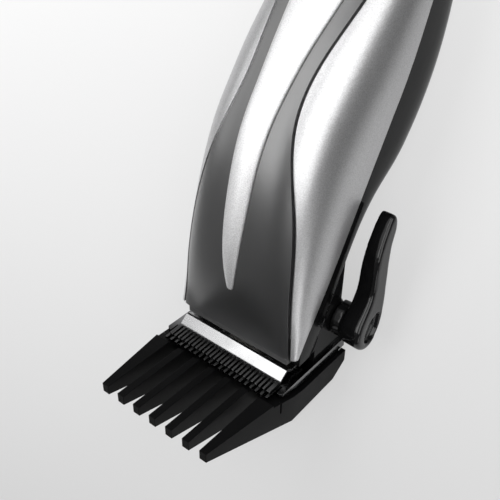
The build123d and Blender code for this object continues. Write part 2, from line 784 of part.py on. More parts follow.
spool = bobbin_play + bobbin_wall
with BuildPart() as coil_bobbin:
    extrude(ring_round_bar(bobbin_play, spool, bobbin_front), amount=bobbin_back - bobbin_front)
    extrude(ring_round_bar(bobbin_play, spool + winding_thick, bobbin_front), amount=bobbin_flange)
    extrude(ring_round_bar(bobbin_play, spool + winding_thick, bobbin_back), amount=-bobbin_flange)
save(coil_bobbin, "coil_bobbin")

with BuildPart() as coil_winding:
    extrude(ring_round_bar(spool, spool + winding_thick, bobbin_front + bobbin_flange),
            amount=bobbin_back - bobbin_front - 2 * bobbin_flange)
save(coil_winding, "coil_winding")

# Taper lever
with BuildPart() as taper_lever:
    hub_points = [(hub_r * math.cos(math.radians(a)), -hub_r * math.sin(math.radians(a))) for a in hub_arc]
    with BuildSketch(lever_plane.offset(lever_in)):
        with BuildLine():
            Spline(*lever_front_edge, lever_tip, *lever_back_edge, *hub_points, periodic=True)
        make_face()
    extrude(amount=lever_out - lever_in)
    hub_edge = lever_plane.from_local_coords(Vector(-hub_r, 0, lever_out))
    outer = Plane(origin=hub_edge, z_dir=(lever_tip[0] + hub_r, lever_fall, 0))
    split(bisect_by=outer, keep=Keep.BOTTOM)
    fillet(taper_lever.faces().sort_by(Axis.X)[-1].edges(), lever_round)
    extrude(spots(hub_r - hub_step, [(0, 0)], lever_plane.offset(nose_half + hub_gap)),
            amount=lever_in - nose_half - hub_gap)
    with BuildSketch(lever_plane.offset(lever_out - dimple_depth)):
        with Locations((0, -dimple_drop)):
            Circle(dimple_r)
        with Locations((dimple_reach, -dimple_end_drop)):
            Circle(dimple_end_r)
        make_hull()
    extrude(amount=2 * dimple_depth, mode=Mode.SUBTRACT)
    extrude(spots(lever_shaft_r + seat_play, [(0, 0)], lever_plane), amount=shaft_end_x + seat_play,
            mode=Mode.SUBTRACT)
    extrude(spots(small_screw_r + hole_play, [(0, 0)], lever_plane), amount=beyond, mode=Mode.SUBTRACT)
save(taper_lever, "taper_lever")

with BuildPart() as lever_shaft:
    extrude(spots(lever_shaft_r, [(0, 0)], lever_plane.offset(flange_x)), amount=shaft_end_x - flange_x)
    extrude(spots(flange_r, [(0, 0)], lever_plane.offset(flange_x)), amount=flange_thick)
    pin_low = ear_x - ear_half_x - ear_gap
    extrude(spots(eccentric_r, [(pin_spot.X, pin_spot.Y)], lever_plane.offset(pin_low)),
            amount=flange_x - pin_low)
    extrude(spots(small_screw_r + thread_play, [(0, 0)], lever_plane.offset(shaft_end_x)),
            amount=-small_screw_deep, mode=Mode.SUBTRACT)
save(lever_shaft, "lever_shaft")

lever_floor_x = lever_out - dimple_depth
with BuildPart() as lever_screw:
    extrude(spots(small_screw_r, [(0, 0)], lever_plane.offset(shaft_end_x - small_screw_deep + hole_play)),
            amount=lever_floor_x - shaft_end_x + small_screw_deep - hole_play)
    extrude(spots(small_head_r, [(0, 0)], lever_plane.offset(lever_floor_x)), amount=small_head_h)
    with BuildSketch(lever_plane.offset(lever_floor_x + small_head_h)):
        Rectangle(2 * small_head_r, slot_w)
    extrude(amount=-slot_deep, mode=Mode.SUBTRACT)
save(lever_screw, "lever_screw")

# Switch, power screw, fasteners and inlet
switch_low = seam_z + switch_z - switch_body_high / 2
with BuildPart() as switch_body:
    extrude(in_plan(-switch_body_out, -switch_body_in, switch_y - switch_body_long / 2,
                    switch_y + switch_body_long / 2, switch_low), amount=switch_body_high)
    extrude(in_plan(-switch_body_out, -stem_inside + stem_play, switch_y - slot_long / 2,
                    switch_y + slot_long / 2, seam_z + switch_z - stem_high / 2 - stem_play),
            amount=stem_high + 2 * stem_play, mode=Mode.SUBTRACT)
save(switch_body, "switch_body")

with BuildPart() as switch_slider:
    extrude(in_plan(-pad_x - pad_thick, -stem_inside, stem_y - stem_long / 2, stem_y + stem_long / 2,
                    seam_z + switch_z - stem_high / 2), amount=stem_high)
    extrude(in_plan(-pad_x - pad_thick, -pad_x, stem_y - pad_long / 2, stem_y + pad_long / 2,
                    seam_z + switch_z - pad_high / 2), amount=pad_high)
    grip = switch_slider.edges().group_by(Axis.X)[0]
    fillet(grip, pad_round)
    for step in range(-grip_count, grip_count + 1):
        groove_back = stem_y + step * grip_pitch
        extrude(in_plan(-pad_x - pad_thick, -pad_x - pad_thick + pad_groove, groove_back - pad_groove / 2,
                        groove_back + pad_groove / 2, seam_z + switch_z - pad_high / 2),
                amount=pad_high, mode=Mode.SUBTRACT)
save(switch_slider, "switch_slider")

with BuildPart() as power_screw:
    tip_x = arm_half_x + power_gap
    extrude(spots(power_r, [(0, 0)], power_plane.offset(tip_x)), amount=pad_x - tip_x)
    extrude(spots(power_head_r, [(0, 0)], power_plane.offset(pad_x)), amount=power_head_h)
    with BuildSketch(power_plane.offset(pad_x + power_head_h)):
        Rectangle(2 * power_head_r, slot_w)
    extrude(amount=-slot_deep, mode=Mode.SUBTRACT)
save(power_screw, "power_screw")

with BuildPart() as housing_screws:
    for (x, back, sink), place in zip(housing_screws_at, housing_places):
        extrude(spots(screw_r, [place], Plane.XY.offset(seam_z - sink)), amount=sink + housing_screw_up)
        extrude(spots(screw_head_r, [place], Plane.XY.offset(seam_z - sink)), amount=-screw_head_h)
        extrude(in_plan(x - screw_head_r, x + screw_head_r, back - slot_w / 2, back + slot_w / 2,
                        seam_z - sink - screw_head_h), amount=slot_deep, mode=Mode.SUBTRACT)
save(housing_screws, "housing_screws")

with BuildPart() as inlet_bush:
    extrude(spots(bush_r, [(0, 0)], inlet_plane.offset(-front_inset)), amount=front_inset + bush_out)
    extrude(spots(bush_flange_r, [(0, 0)], inlet_plane), amount=bush_flange)
    extrude(spots(bush_flange_r, [(0, 0)], inlet_plane.offset(-front_inset)), amount=-bush_flange)
    extrude(spots(inlet_r, [(0, 0)], inlet_plane), amount=beyond, both=True, mode=Mode.SUBTRACT)
save(inlet_bush, "inlet_bush")

# Guide comb
under_tip = -bevel_tip_thick - comb_blade_gap
under_blade = -blade_thick - comb_blade_gap
under_screws = -blade_thick - screw_head_h - head_play
rib_low = rib_top - rib_tip_high
rib_nose = [(-comb_reach, rib_low), (-comb_reach, rib_top), (-comb_tip_gap, rib_top),
            (-comb_tip_gap, under_tip), (bevel_back, under_blade)]
rib_outline = rib_nose + [(bevel_back + comb_floor, comb_floor - comb_deep), (comb_heel, -comb_deep)]
wall_outline = rib_nose + [(comb_back, under_blade), (comb_back, -comb_rear_deep),
                           (comb_back - comb_scoop, -comb_back_deep), (comb_heel, -comb_deep)]
floor_outline = [(comb_heel, -comb_deep), (comb_back - comb_scoop, -comb_back_deep),
                 (comb_back, -comb_rear_deep), (comb_back, under_screws),
                 (comb_back - comb_wall, under_screws),
                 (comb_back - comb_wall, -comb_rear_deep),
                 (comb_back - comb_scoop - comb_wall, comb_floor - comb_back_deep),
                 (comb_heel, comb_floor - comb_deep)]

with BuildPart() as comb_sides:
    with BuildSketch(blade_plane.offset(-comb_deep)):
        for side in (1, -1):
            Polygon((side * (comb_tip_half - rib_thick), -comb_reach), (side * comb_tip_half, -comb_reach),
                    (side * comb_half, comb_heel), (side * comb_half, comb_back),
                    (side * (comb_half - comb_wall), comb_back),
                    (side * (comb_half - comb_wall), bevel_back), (side * (comb_tip_half - rib_thick), 0),
                    align=None)
    extrude(amount=comb_deep)
    extrude(side_profile(wall_outline), amount=comb_half, both=True, mode=Mode.INTERSECT)

with BuildPart() as guide_comb:
    add(comb_sides.part)
    for rib in range(1, rib_count - 1):
        x = (rib - (rib_count - 1) / 2) * rib_pitch
        extrude(side_profile(rib_outline, x), amount=rib_thick / 2, both=True)
    extrude(side_profile(floor_outline), amount=comb_half - comb_wall / 2, both=True)
    for side in (1, -1):
        slit_x = sorted((side * (comb_half - comb_wall), side * comb_half))
        extrude(in_blade(*slit_x, slit_y, slit_y + slit_wide, -slit_low), amount=slit_high,
                mode=Mode.SUBTRACT)
save(guide_comb, "guide_comb")
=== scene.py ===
"""Dresses a hair clipper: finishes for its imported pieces, rounded mouldings and a pale studio."""

import json
import math
from collections import namedtuple

import bpy
from bpy.props import FloatProperty, FloatVectorProperty, IntProperty, PointerProperty
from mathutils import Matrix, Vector


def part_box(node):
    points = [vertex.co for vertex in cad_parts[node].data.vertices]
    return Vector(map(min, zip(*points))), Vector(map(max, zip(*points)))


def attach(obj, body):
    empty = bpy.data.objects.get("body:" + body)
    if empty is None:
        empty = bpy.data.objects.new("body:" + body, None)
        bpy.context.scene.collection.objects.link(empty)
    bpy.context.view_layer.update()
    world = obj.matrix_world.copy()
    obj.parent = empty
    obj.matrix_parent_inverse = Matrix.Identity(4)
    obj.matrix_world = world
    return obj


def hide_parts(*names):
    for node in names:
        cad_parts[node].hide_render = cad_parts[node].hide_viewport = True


bl_info = {
    "name": "Hair clipper",
    "version": (1, 0, 0),
    "blender": (4, 5, 0),
    "location": "View3D > Sidebar > Clipper",
    "description": "Dresses a hair clipper's packed pieces and sets up its studio",
    "category": "Object",
}

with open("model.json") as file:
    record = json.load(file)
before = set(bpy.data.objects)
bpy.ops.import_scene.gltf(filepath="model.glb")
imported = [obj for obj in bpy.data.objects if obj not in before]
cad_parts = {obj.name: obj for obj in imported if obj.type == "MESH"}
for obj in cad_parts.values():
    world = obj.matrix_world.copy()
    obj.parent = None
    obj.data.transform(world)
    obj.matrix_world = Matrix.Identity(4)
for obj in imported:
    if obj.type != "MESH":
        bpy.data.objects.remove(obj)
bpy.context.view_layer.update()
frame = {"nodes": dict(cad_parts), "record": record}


def joint_axis(name):
    """Direction of one of the record's joints."""
    joints = frame["record"]["behaviour"]["joints"]
    return Vector(next(joint["axis"] for joint in joints if joint["name"] == name))


# Teeth: the way from their tips to their roots, and how far along it the fixed blade's tips lie
TOOTH_HEADING = joint_axis("taper_slide_travel")
TOOTH_START = min(TOOTH_HEADING.dot(point.co) for point in frame["nodes"]["fixed_blade"].data.vertices)

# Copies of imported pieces: welding, flat faces, edges to round and edges to shade smooth
WELD = 0.000002
FLAT = math.radians(0.6)
SHARP = math.radians(28.0)
SMOOTH = math.radians(35.0)

# Lever: how much a face of its upper side points up, and how far one pass softens the grip
UPPER_SIDE = 0.3
PASS_STRENGTH = 0.5

# Noise in the finishes: its middle value, and the span that holds most of it
NOISE_MIDDLE = 0.5
NOISE_SPAN = (0.3, 0.7)

# Sharp edges that only look rounded
EDGE_SAMPLES = 6

# Silver paint
FLAKE_SIZE = 0.00032
FLAKE_DEPTH = 0.000004
FLAKE_STRENGTH = 0.5
FLAKE_SHADES = (0.84, 1.14)
FLAKE_BLUR = 0.05
PAINT_DRIFT_SIZE = 0.03
PAINT_DRIFT_BLUR = 0.06

# Moulded plastic
GRAIN_STRENGTH = 0.6
PLASTIC_DRIFT_SIZE = 0.018
PLASTIC_DRIFT_SHARE = 0.10
PLASTIC_SHADES = (0.88, 1.12)
MARK_SIZE = 0.0011
MARK_STRETCH = (1.0, 0.06, 1.0)
MARK_TURN = (0.2, 0.4, 0.6)
MARK_SPAN = (0.64, 0.74)
MARK_BLUR = 0.05
INNER_SHADE = 2.2

# Steel: stretches that draw its grinding lines along an axis, then lines, stains, and the painted shade that
# darkens the teeth
ALONG_X = (0.03, 1.0, 1.0)
ALONG_Y = (1.0, 0.03, 1.0)
LINE_STRENGTH = 0.7
LINE_BLUR = 0.16
STAIN_SIZE = 0.006
STAIN_SPAN = (0.42, 0.70)
STAIN_SHADE = 0.84
STAIN_BLUR = 0.05
TEETH_PAINTED_SHADE = 0.28

# Copper winding: a wave of scale 1 repeats after the wave's length
WAVE_LENGTH = math.pi / 10
TURN_PITCH = 0.0002856
TURN_DEPTH = 0.00012
TURN_SHADE_AND_HIGHLIGHT = (0.55, 1.1)
COPPER_BLUR = 0.34
TURN_POLISH = 0.08

# Floor: where its even light fades in a painted shade, where the dark painted shade of its far side begins,
# which the camera doesn't see, and the paper's mottle
FLOOR_SIDES = 96
FLOOR_ROUGHNESS = 0.7
FLOOR_SPECULAR = 0.2
DUSK_HEADING = (0.41, -0.91, 0.0)
DUSK_SPAN = (-0.06, 0.16)
FAR_SHADE_HEADING = (0.90, 0.35, 0.0)
FAR_SHADE_SPAN = (0.040, 0.085)
MOTTLE_SIZE = 0.05
MOTTLE_SHARE = 0.02

# Sky, camera and softboxes
SKY_HEADING = (-0.85, 0.20, 0.50)
CLIP_START = 0.01
Softbox = namedtuple("Softbox", "name size place target")
SOFTBOXES = (
    Softbox("top", size=(1.6, 1.05), place=(0.10, 0.10, 0.85), target=(0.10, 0.10, 0.0)),
    Softbox("core", size=(0.45, 1.2), place=(-0.27, 0.12, 0.84), target=(-0.27, 0.12, 0.0)),
    Softbox("left", size=(1.2, 0.5), place=(-0.80, 0.20, 0.54), target=(0.0, -0.03, 0.05)),
    Softbox("right", size=(1.3, 0.7), place=(0.53, 0.13, 0.70), target=(0.0, 0.0, 0.03)),
    Softbox("fill", size=(0.25, 0.12), place=(0.42, -0.36, 0.06), target=(0.0, -0.06, 0.03)),
)


def colour(label, about, default):
    """A colour property."""
    return FloatVectorProperty(name=label, description=about, default=default, subtype="COLOR", size=3,
                               min=0.0, max=1.0)


def length(label, about, default):
    """A length property, in metres."""
    return FloatProperty(name=label, description=about, default=default, unit="LENGTH", precision=5)


def share(label, about, default):
    """A property from 0 to 1."""
    return FloatProperty(name=label, description=about, default=default, min=0.0, max=1.0, subtype="FACTOR")


def power(label, about, default):
    """A lamp's power, in watts."""
    return FloatProperty(name=label, description=about, default=default, unit="POWER")


class ClipperFinishes(bpy.types.PropertyGroup):
    """Colours and roughnesses of the finishes."""
    silver: colour("Silver paint", "Flanks of the front", (0.50, 0.50, 0.505))
    silver_roughness: share("Silver roughness", "Blur of the silver paint's reflections", 0.36)
    # Tongue silver is a lighter copy of the flank silver: a painted highlight on the tongue
    tongue: colour("Tongue silver", "Brighter paint of the tongue", (0.74, 0.74, 0.745))
    tongue_roughness: share("Tongue roughness", "Blur of the tongue's reflections", 0.52)
    panel: colour("Panel grey", "Face panel and nose lip", (0.013, 0.0132, 0.0136))
    panel_roughness: share("Panel roughness", "Blur of the face panel's reflections", 0.33)
    gloss_black: colour("Gloss black", "Back shell and taper lever", (0.004, 0.004, 0.0042))
    comb_black: colour("Comb black", "Guide comb, switch slider and inlet bush", (0.003, 0.003, 0.0032))
    blade_steel: colour("Blade steel", "Ground steel of fixed blade and spring", (0.22, 0.22, 0.223))
    cutter_steel: colour("Cutter steel", "Polished steel of the moving cutter", (0.36, 0.36, 0.364))
    screw_steel: colour("Screw steel", "Plated steel of screws, pivot and shaft", (0.52, 0.52, 0.53))
    core_steel: colour("Core steel", "Plain steel of the motor's cores and arm", (0.30, 0.30, 0.31))
    nylon: colour("Nylon", "Drive finger and cutter yoke", (0.72, 0.70, 0.64))
    copper: colour("Copper", "Enamelled winding wire", (0.52, 0.20, 0.08))
    rubber: colour("Rubber", "Buffers beside the arm", (0.016, 0.016, 0.016))


class ClipperEdges(bpy.types.PropertyGroup):
    """Radii of rounded edges, and the form of the lever's grip."""
    comb: length("Comb edges", "Radius on the guide comb's edges", 0.00032)
    lever: length("Lever edges", "Radius seen on the lever's edges", 0.0003)
    lever_grid: length("Lever grid", "Size of the lever's faces", 0.0004)
    lever_bore: length("Lever bore", "Radius kept as it is round the lever's pivot", 0.0032)
    lever_hub: length("Lever hub", "Radius of the lever's hub inside the grip", 0.0062)
    lever_inner: length("Lever's inner face", "Where the lever's grip begins across the body", 0.026)
    lever_lean: length("Lever lean", "How far the grip's upper face falls towards the body", 0.0011)
    lever_band: length("Lever band", "Width over which it falls", 0.0055)
    lever_passes: IntProperty(name="Lever passes", description="How often the lever's grip is softened",
                              default=6)
    steel: length("Steel edges", "Radius on the edges of blade, cutter, lip and cores", 0.00005)
    small: length("Small edges", "Radius on the edges of screws, bush and small pieces", 0.00022)
    tongue: length("Tongue edges", "Radius seen on the tongue's edges", 0.0024)
    shell: length("Shell edges", "Radius seen on the edges of shells and panel", 0.00022)


class ClipperStage(bpy.types.PropertyGroup):
    """Camera, floor and light."""
    camera_place: FloatVectorProperty(name="Camera", description="Place of the camera", subtype="TRANSLATION",
                                      unit="LENGTH", default=(0.1088, -0.0212, 0.2169))
    camera_turn: FloatVectorProperty(name="Camera turn", description="Turn of the camera", subtype="EULER",
                                     unit="ROTATION",
                                     default=tuple(math.radians(a) for a in (2.039, 32.820, 23.255)))
    lens: FloatProperty(name="Lens", description="Focal length of the camera", default=53.25, unit="CAMERA")
    floor: colour("Floor", "Pale floor on the lit side", (0.62, 0.62, 0.622))
    # Painted shade: the floor's far side as reflections and bounced light see it
    floor_far: colour("Floor, far side", "Floor away from the light, as the clipper mirrors it",
                      (0.05, 0.05, 0.0505))
    floor_radius: length("Floor radius", "Radius of the round floor", 3.0)
    floor_lift: share("Floor lift", "Share of the floor that shows as evenly lit", 0.7)
    floor_glow: share("Floor glow", "Brightness of that share", 1.0)
    floor_dusk: share("Floor dusk", "Brightness of that share ahead of the comb", 0.60)
    mirror_lift: share("Mirrored lift", "How much of the even light shows in reflections", 0.08)
    backdrop: share("Backdrop", "Brightness of the backdrop", 0.80)
    sky: share("Lit sky", "World's light on the lit side", 0.28)
    horizon: share("Dim sky", "World's light on the far side", 0.07)
    top_power: power("Top", "Power of the overhead softbox", 1.9)
    core_power: power("Core", "Power of the overhead softbox's bright core", 5.6)
    left_power: power("Left", "Power of the left softbox", 2.6)
    right_power: power("Right", "Power of the right softbox", 7.4)
    fill_power: power("Fill", "Power of the low front softbox", 0.22)


class Wire:
    """A value on its way through a finish: sums on it add the Math nodes that work it out."""

    def __init__(self, finish, socket):
        self.finish = finish
        self.socket = socket

    def math(self, operation, first, second):
        return self.finish.node("ShaderNodeMath", {"operation": operation}, {0: first, 1: second})

    def __add__(self, other):
        return self.math("ADD", self, other)

    def __radd__(self, other):
        return self.math("ADD", other, self)

    def __sub__(self, other):
        return self.math("SUBTRACT", self, other)

    def __rsub__(self, other):
        return self.math("SUBTRACT", other, self)

    def __mul__(self, other):
        return self.math("MULTIPLY", self, other)

    def __rmul__(self, other):
        return self.math("MULTIPLY", other, self)


class Finish:
    """A material or a sky whose nodes are added one by one."""

    def __init__(self, block):
        self.block = block
        block.use_nodes = True
        self.tree = block.node_tree
        self.tree.nodes.clear()

    def node(self, kind, settings=None, inputs=None, output=0):
        """Adds a node, sets it up, fills or links its sockets and returns one of its outputs."""
        node = self.tree.nodes.new(kind)
        for name, value in (settings or {}).items():
            setattr(node, name, value)
        for key, value in (inputs or {}).items():
            socket = self.find(node.inputs, key)
            if isinstance(value, Wire):
                self.tree.links.new(value.socket, socket)
            elif socket.type == "RGBA" and len(value) == 3:
                socket.default_value = (*value, 1.0)
            else:
                socket.default_value = value
        return Wire(self, self.find(node.outputs, output)) if node.outputs else None

    @staticmethod
    def find(sockets, key):
        """A socket by its number, or by its identifier or name."""
        if isinstance(key, int):
            return sockets[key]
        named = [s for s in sockets if s.identifier == key] or [s for s in sockets if s.name == key]
        return named[0]

    def spot(self):
        """Object coordinates."""
        return self.node("ShaderNodeTexCoord", output="Object")

    def along(self, spot, heading):
        """How far a point lies along a heading."""
        return self.node("ShaderNodeVectorMath", {"operation": "DOT_PRODUCT"}, {0: spot, 1: heading}, "Value")

    def seen(self):
        """1 for what the camera sees."""
        return self.node("ShaderNodeLightPath", output="Is Camera Ray")

    def shown(self, stage):
        """1 for what the camera sees, and less for what reflections see."""
        mirrored = self.node("ShaderNodeLightPath", output="Is Glossy Ray")
        return self.seen() + mirrored * stage.mirror_lift

    def noise(self, size, detail=2.0, stretch=(1.0, 1.0, 1.0), turn=(0.0, 0.0, 0.0)):
        """Noise between 0 and 1 whose features are about this size, in metres."""
        place = self.node("ShaderNodeMapping",
                          inputs={"Vector": self.spot(), "Scale": stretch, "Rotation": turn})
        return self.node("ShaderNodeTexNoise",
                         inputs={"Vector": place, "Scale": 1.0 / size, "Detail": detail})

    def ramp(self, value, low, high, first=0.0, last=1.0):
        """A value spread from first at low to last at high."""
        return self.node("ShaderNodeMapRange", inputs={"Value": value, "From Min": low, "From Max": high,
                                                       "To Min": first, "To Max": last})

    def blend(self, factor, first, second):
        """A colour between two colours."""
        return self.node("ShaderNodeMix", {"data_type": "RGBA"},
                         {"Factor_Float": factor, "A_Color": first, "B_Color": second}, "Result_Color")

    def soft_edges(self, radius):
        """Normal as if sharp edges had this radius."""
        return self.node("ShaderNodeBevel", {"samples": EDGE_SAMPLES}, {"Radius": radius})

    def bump(self, height, distance, strength=1.0, normal=None):
        """Normal that follows a height between 0 and 1, this many metres deep."""
        inputs = {"Height": height, "Distance": distance, "Strength": strength}
        if normal is not None:
            inputs["Normal"] = normal
        return self.node("ShaderNodeBump", inputs=inputs)

    def surface(self, **sockets):
        """Ends the finish in a Principled surface."""
        inputs = {name.replace("_", " "): value for name, value in sockets.items()}
        body = self.node("ShaderNodeBsdfPrincipled", inputs=inputs)
        self.node("ShaderNodeOutputMaterial", inputs={"Surface": body})
        return self.block


def shade(tone, factor):
    """A colour made darker or lighter by a factor."""
    return tuple(min(1.0, part * factor) for part in tone)


def shades(tone, factors):
    """A darker and a lighter form of a colour."""
    return [shade(tone, factor) for factor in factors]


def silver_paint(name, silver, gloss, radius):
    """Satin metallic paint: fine flakes, a slow drift of gloss and a thin clear coat."""
    finish = Finish(bpy.data.materials.new(name))
    flakes = finish.noise(FLAKE_SIZE)
    drift = finish.noise(PAINT_DRIFT_SIZE)
    tone = finish.blend(finish.ramp(flakes, *NOISE_SPAN), *shades(silver, FLAKE_SHADES))
    roughness = gloss + (drift - NOISE_MIDDLE) * PAINT_DRIFT_BLUR + (flakes - NOISE_MIDDLE) * FLAKE_BLUR
    normal = finish.bump(flakes, FLAKE_DEPTH, FLAKE_STRENGTH, finish.soft_edges(radius))
    return finish.surface(Base_Color=tone, Metallic=0.88, Roughness=roughness, Normal=normal,
                          Coat_Weight=0.05, Coat_Roughness=0.2)


def moulded(name, tone, radius, roughness, grain, depth, specular=0.5, coat=0.0):
    """Moulded plastic: fine grain, hair-thin handling marks and a slow drift of tone and gloss."""
    finish = Finish(bpy.data.materials.new(name))
    fine = finish.noise(grain)
    drift = finish.noise(PLASTIC_DRIFT_SIZE, detail=3.0)
    marks = finish.noise(MARK_SIZE, stretch=MARK_STRETCH, turn=MARK_TURN)
    scuffs = finish.ramp(marks, *MARK_SPAN)
    base = finish.blend(finish.ramp(drift, *NOISE_SPAN), *shades(tone, PLASTIC_SHADES))
    gloss = roughness + (drift - NOISE_MIDDLE) * PLASTIC_DRIFT_SHARE * roughness + scuffs * MARK_BLUR
    normal = finish.bump(fine, depth, GRAIN_STRENGTH, finish.soft_edges(radius))
    return finish.surface(Base_Color=base, Roughness=gloss, Normal=normal, Specular_IOR_Level=specular,
                          Coat_Weight=coat, Coat_Roughness=roughness)


def panel_plastic(looks, edges):
    """Dark satin plastic of the face panel and the nose lip."""
    return moulded("panel_plastic", looks.panel, edges.shell, looks.panel_roughness,
                   grain=0.00025, depth=0.000006, specular=1.0, coat=1.0)


def gloss_plastic(looks, edges):
    """Gloss black plastic of the back shell."""
    return moulded("gloss_plastic", looks.gloss_black, edges.shell, roughness=0.13,
                   grain=0.0009, depth=0.000003, specular=0.07)


def lever_plastic(looks, edges):
    """Gloss black plastic of the taper lever."""
    return moulded("lever_plastic", looks.gloss_black, edges.lever, roughness=0.09,
                   grain=0.0009, depth=0.000003, specular=0.36)


def comb_plastic(looks, edges):
    """Satin black plastic of the guide comb, the switch slider and the inlet bush."""
    return moulded("comb_plastic", looks.comb_black, edges.small, roughness=0.36,
                   grain=0.0003, depth=0.000006, specular=0.05)


def inner_plastic(looks, edges):
    """Dull black plastic of pieces inside, and the black of the lever's screw."""
    return moulded("inner_plastic", shade(looks.comb_black, INNER_SHADE), edges.small, roughness=0.5,
                   grain=0.0003, depth=0.00001)


def nylon(looks, edges):
    """Natural nylon of the drive finger and the cutter's yoke."""
    return moulded("natural_nylon", looks.nylon, edges.small, roughness=0.45, grain=0.0006, depth=0.00001)


def rubber(looks, edges):
    """Soft rubber of the buffers."""
    return moulded("buffer_rubber", looks.rubber, edges.small, roughness=0.75, grain=0.0002, depth=0.00002)


def steel(name, tone, radius, roughness, stretch, grain, depth, painted_teeth_shade=None):
    """Ground or brushed steel: lines along one axis, stains, and a painted shade that darkens the teeth and
    ends behind their tips.
    """
    finish = Finish(bpy.data.materials.new(name))
    lines = finish.noise(grain, detail=3.0, stretch=stretch)
    stains = finish.noise(STAIN_SIZE, detail=3.0)
    worn = finish.ramp(stains, *STAIN_SPAN)
    base = finish.blend(worn, tone, shade(tone, STAIN_SHADE))
    # Painted shade: the teeth are darkened, and the darkening fades out between two distances behind the
    # fixed blade's tips
    if painted_teeth_shade:
        past_teeth_shade = finish.ramp(finish.along(finish.spot(), TOOTH_HEADING) - TOOTH_START, *painted_teeth_shade)
        base = finish.blend(past_teeth_shade, shade(tone, TEETH_PAINTED_SHADE), base)
    gloss = roughness + (lines - NOISE_MIDDLE) * LINE_BLUR + worn * STAIN_BLUR
    normal = finish.bump(lines, depth, LINE_STRENGTH, finish.soft_edges(radius))
    return finish.surface(Base_Color=base, Metallic=1.0, Roughness=gloss, Normal=normal)


def blade_steel(looks, edges):
    """Ground steel of the fixed blade and the tension spring."""
    return steel("blade_steel", looks.blade_steel, edges.steel, roughness=0.14, stretch=ALONG_X,
                 grain=0.00012, depth=0.000004, painted_teeth_shade=(0.004, 0.009))


def cutter_steel(looks, edges):
    """Polished steel of the moving cutter."""
    return steel("cutter_steel", looks.cutter_steel, edges.steel, roughness=0.24, stretch=ALONG_X,
                 grain=0.00018, depth=0.000003, painted_teeth_shade=(0.0060, 0.0070))


def screw_steel(looks, edges):
    """Plated steel of the screws, the pivot and the lever's shaft."""
    return steel("screw_steel", looks.screw_steel, edges.small, roughness=0.28, stretch=ALONG_Y,
                 grain=0.00030, depth=0.000003)


def core_steel(looks, edges):
    """Plain steel of the motor's cores and arm."""
    return steel("core_steel", looks.core_steel, edges.steel, roughness=0.42, stretch=ALONG_X,
                 grain=0.00050, depth=0.00003)


def copper_wire(looks):
    """Enamelled wire laid in close turns, with painted shade in the grooves and a painted highlight on the
    crests.
    """
    finish = Finish(bpy.data.materials.new("copper_wire"))
    turns = finish.node("ShaderNodeTexWave", {"bands_direction": "Y"},
                        {"Vector": finish.spot(), "Scale": WAVE_LENGTH / TURN_PITCH, "Distortion": 0.4,
                         "Detail": 1.0}, "Fac")
    # Painted shade in the grooves between turns and painted highlight on their crests
    base = finish.blend(turns, *shades(looks.copper, TURN_SHADE_AND_HIGHLIGHT))
    return finish.surface(Base_Color=base, Metallic=0.9, Roughness=COPPER_BLUR - turns * TURN_POLISH,
                          Normal=finish.bump(turns, TURN_DEPTH))


def dress(finish, *nodes):
    """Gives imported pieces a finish."""
    for name in nodes:
        node = frame["nodes"][name]
        if not node.material_slots:
            raise RuntimeError(f"{name} has no material slot")
        for slot in node.material_slots:
            slot.material = finish


def select_only(piece):
    """Leaves one piece selected and active."""
    bpy.ops.object.select_all(action="DESELECT")
    piece.select_set(True)
    bpy.context.view_layer.objects.active = piece


def body_of(node):
    """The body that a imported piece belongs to."""
    bodies = frame["record"]["behaviour"]["bodies"]
    return next(body for body, members in bodies.items() if node in members)


def stand_for(piece, node, finish):
    """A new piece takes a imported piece's place, body and slot."""
    piece.data.materials.clear()
    piece.data.materials.append(finish)
    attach(piece, body_of(node))
    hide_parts(node)


def copy_of(node, name):
    """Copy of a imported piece, welded and selected."""
    piece = bpy.data.objects.new(name, frame["nodes"][node].data.copy())
    bpy.context.scene.collection.objects.link(piece)
    select_only(piece)
    bpy.ops.object.mode_set(mode="EDIT")
    bpy.ops.mesh.select_all(action="SELECT")
    bpy.ops.mesh.remove_doubles(threshold=WELD)
    bpy.ops.object.mode_set(mode="OBJECT")
    return piece


def modify(piece, kind, **settings):
    """Adds a modifier to the selected piece and applies it."""
    modifier = piece.modifiers.new(kind.lower(), kind)
    for name, value in settings.items():
        setattr(modifier, name, value)
    bpy.ops.object.modifier_apply(modifier=modifier.name)


def rounded(node, name, radius, segments=3):
    """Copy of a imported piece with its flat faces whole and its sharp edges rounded."""
    piece = copy_of(node, name)
    bpy.ops.object.mode_set(mode="EDIT")
    bpy.ops.mesh.select_all(action="SELECT")
    bpy.ops.mesh.dissolve_limited(angle_limit=FLAT, delimit=set())
    bpy.ops.object.mode_set(mode="OBJECT")
    modify(piece, "BEVEL", width=radius, segments=segments, limit_method="ANGLE", angle_limit=SHARP)
    bpy.ops.object.shade_smooth_by_angle(angle=SMOOTH)
    modify(piece, "WEIGHTED_NORMAL", keep_sharp=True)
    return piece


class CLIPPER_OT_shells(bpy.types.Operator):
    """Finish the front and back shells and the tongue"""
    bl_idname = "clipper.shells"
    bl_label = "Shells"

    def execute(self, context):
        looks = context.scene.clipper_finishes
        edges = context.scene.clipper_edges
        silver = silver_paint("silver_paint", looks.silver, looks.silver_roughness, edges.shell)
        dress(silver, "front_shell")
        # The tongue's lighter copy of the silver paint is a painted highlight
        bright = silver_paint("tongue_paint", looks.tongue, looks.tongue_roughness, edges.tongue)
        dress(bright, "centre_tongue")
        dress(gloss_plastic(looks, edges), "back_shell")
        return {"FINISHED"}


